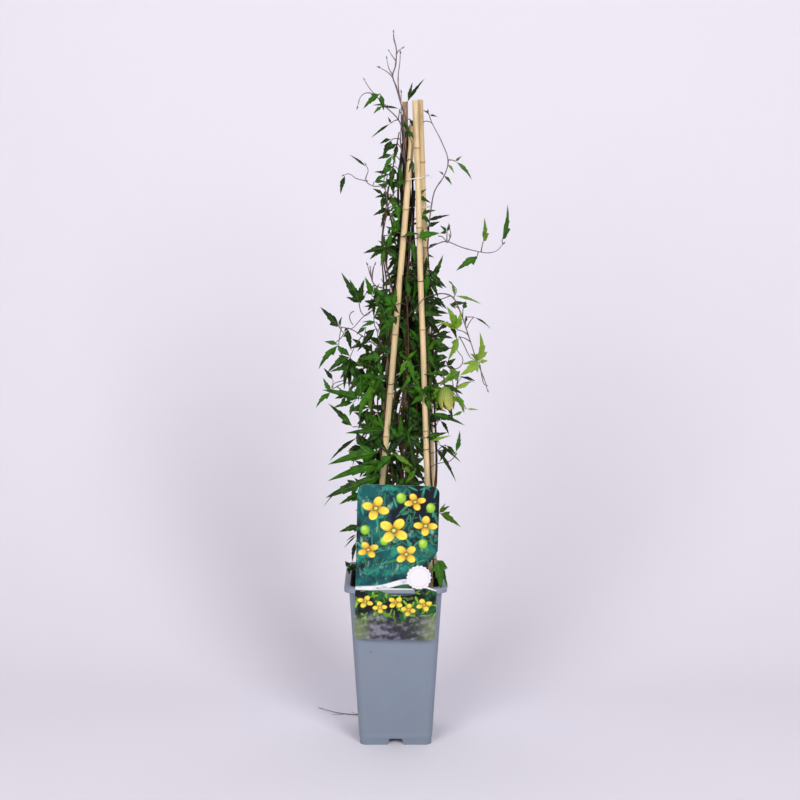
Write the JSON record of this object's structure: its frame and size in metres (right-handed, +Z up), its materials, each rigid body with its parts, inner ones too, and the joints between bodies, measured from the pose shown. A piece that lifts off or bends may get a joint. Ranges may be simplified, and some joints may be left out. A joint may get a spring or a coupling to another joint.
{
  "type": "potted climbing clematis plant",
  "caption": "Leafy climbing clematis tied to bamboo canes in a tall square plastic nursery pot, with a printed card over the rim.",
  "frame": {"origin": "centre of the pot's foot, on the surface that the pot stands on", "axes": "+Z up along the pot and the canes, -Y towards the side with the card, +X to the right seen from there"},
  "size_m": [0.2163, 0.1304, 0.7741],
  "materials": {
    "pot_plastic": "satin moulded blue-grey plastic",
    "soil": "crumbly dark potting soil",
    "bamboo": "smooth straw-coloured bamboo with brown nodes",
    "bamboo_brown": "weathered brown bamboo",
    "tie_wire": "thin plastic-coated wire",
    "card_print": "smooth printed plastic card",
    "clematis": "fresh green leaves on brown woody stems",
    "bud": "soft pale yellow-green sepals",
    "root": "dry thin root"
  },
  "bodies": {
    "root": {"pot": "pot_plastic", "soil": "soil", "cane_front_left": "bamboo", "cane_back_left": "bamboo", "stake_middle": "bamboo_brown", "cane_front_right": "bamboo", "cane_back_right": "bamboo", "tie_upper": "tie_wire", "tie_lower": "tie_wire", "card": "card_print", "bud": "bud", "root_strand": "root", "stem_middle": "clematis", "stem_left": "clematis", "stem_right": "clematis", "stem_front": "clematis", "stem_back": "clematis"}
  },
  "joints": []
}
